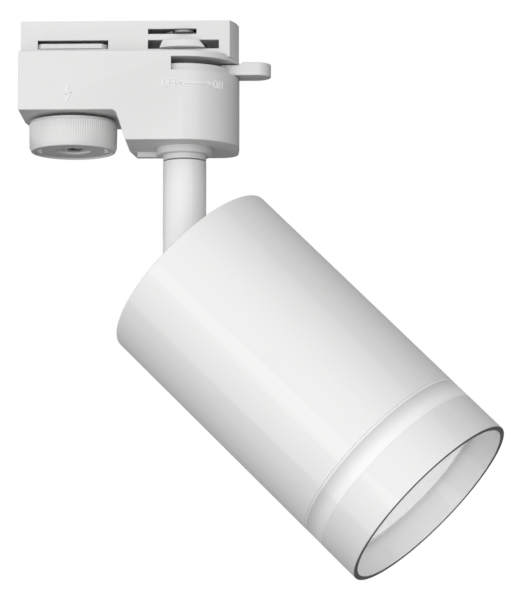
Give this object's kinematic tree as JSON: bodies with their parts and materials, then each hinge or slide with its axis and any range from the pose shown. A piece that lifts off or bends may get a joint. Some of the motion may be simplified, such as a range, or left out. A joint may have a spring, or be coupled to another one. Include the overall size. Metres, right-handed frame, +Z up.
{
  "type": "track spotlight",
  "caption": "White track spotlight: two-wire track adapter with lock knob and contact lever, swivelling stem, and a tilting cylindrical head with a frosted ring near its mouth.",
  "frame": {"origin": "on the stem's vertical swivel axis, in the plane of the adapter's shoulder, where the shoulder bears against the underside of the track", "axes": "+Z up into the track, +X along the track towards the contact lever, -Y towards the viewer of the labelled side"},
  "size_m": [0.1409, 0.0773, 0.1649],
  "materials": {
    "white_plastic": "fine satin moulded polycarbonate",
    "white_powder_coat": "fine-textured matt powder coat on aluminium",
    "zinced_steel": "bright zinc plating",
    "tinned_copper": "tinned copper alloy, lightly dulled",
    "brass": "turned brass",
    "bare_aluminium": "machined",
    "lamp_reflector": "satin white-painted die-cast lamp body",
    "lamp_glass": "clear front lens with fine prisms",
    "ceramic": "unglazed steatite",
    "frosted_acrylic": "translucent frosted acrylic",
    "black_rubber": "matt",
    "brown_sleeve": "silicone wire sleeve",
    "blue_sleeve": "silicone wire sleeve"
  },
  "bodies": {
    "adapter": {"front_housing": "white_plastic", "rear_cover": "white_plastic", "cover_screw_1": "zinced_steel", "cover_screw_2": "zinced_steel", "lock_spring": "zinced_steel", "swivel_bushing": "white_plastic", "bushing_nut": "brass"},
    "lock": {"lock_knob": "white_plastic", "lock_shaft": "white_plastic", "lock_plate": "white_plastic", "knob_screw": "zinced_steel"},
    "contact_rotor": {"contact_lever": "white_plastic", "contact_carrier": "white_plastic", "contact_line": "tinned_copper", "contact_neutral": "tinned_copper"},
    "stem": {"stem_tube": "white_powder_coat", "swivel_nipple": "zinced_steel", "friction_washer": "zinced_steel", "stop_washer": "zinced_steel", "swivel_nut": "brass", "stem_fork_block": "bare_aluminium", "tilt_screw": "zinced_steel", "tilt_washer": "zinced_steel", "tilt_nut": "zinced_steel", "stem_wire_line": "brown_sleeve", "stem_wire_neutral": "blue_sleeve"},
    "head": {"head_tube": "white_powder_coat", "rear_cap": "white_powder_coat", "cap_ring": "zinced_steel", "port_grommet": "black_rubber", "holder_bracket": "zinced_steel", "bracket_screw_1": "zinced_steel", "bracket_screw_2": "zinced_steel", "lampholder": "ceramic", "holder_screw_1": "zinced_steel", "holder_screw_2": "zinced_steel", "lamp_body": "lamp_reflector", "lamp_lens": "lamp_glass", "lamp_pin_1": "brass", "lamp_pin_2": "brass", "acrylic_ring": "frosted_acrylic", "front_bezel": "white_powder_coat", "head_lead_line": "brown_sleeve", "head_lead_neutral": "blue_sleeve"}
  },
  "joints": [
    {"name": "lock_turn", "type": "hinge", "parent": "adapter", "child": "lock", "pos_m": [-0.03315, 0, -0.02], "axis": [0, 0, 1], "range_deg": [0, 90]},
    {"name": "contact_switch", "type": "hinge", "parent": "adapter", "child": "contact_rotor", "pos_m": [0, 0, -0.003], "axis": [0, 0, 1], "range_deg": [-84, 0]},
    {"name": "head_pan", "type": "hinge", "parent": "adapter", "child": "stem", "pos_m": [0, 0, -0.03], "axis": [0, 0, 1], "range_deg": [-165, 165]},
    {"name": "head_tilt", "type": "hinge", "parent": "stem", "child": "head", "pos_m": [0, 0, -0.0614], "axis": [-0.2588, -0.9659, 0], "range_deg": [-125.5, 34]}
  ]
}
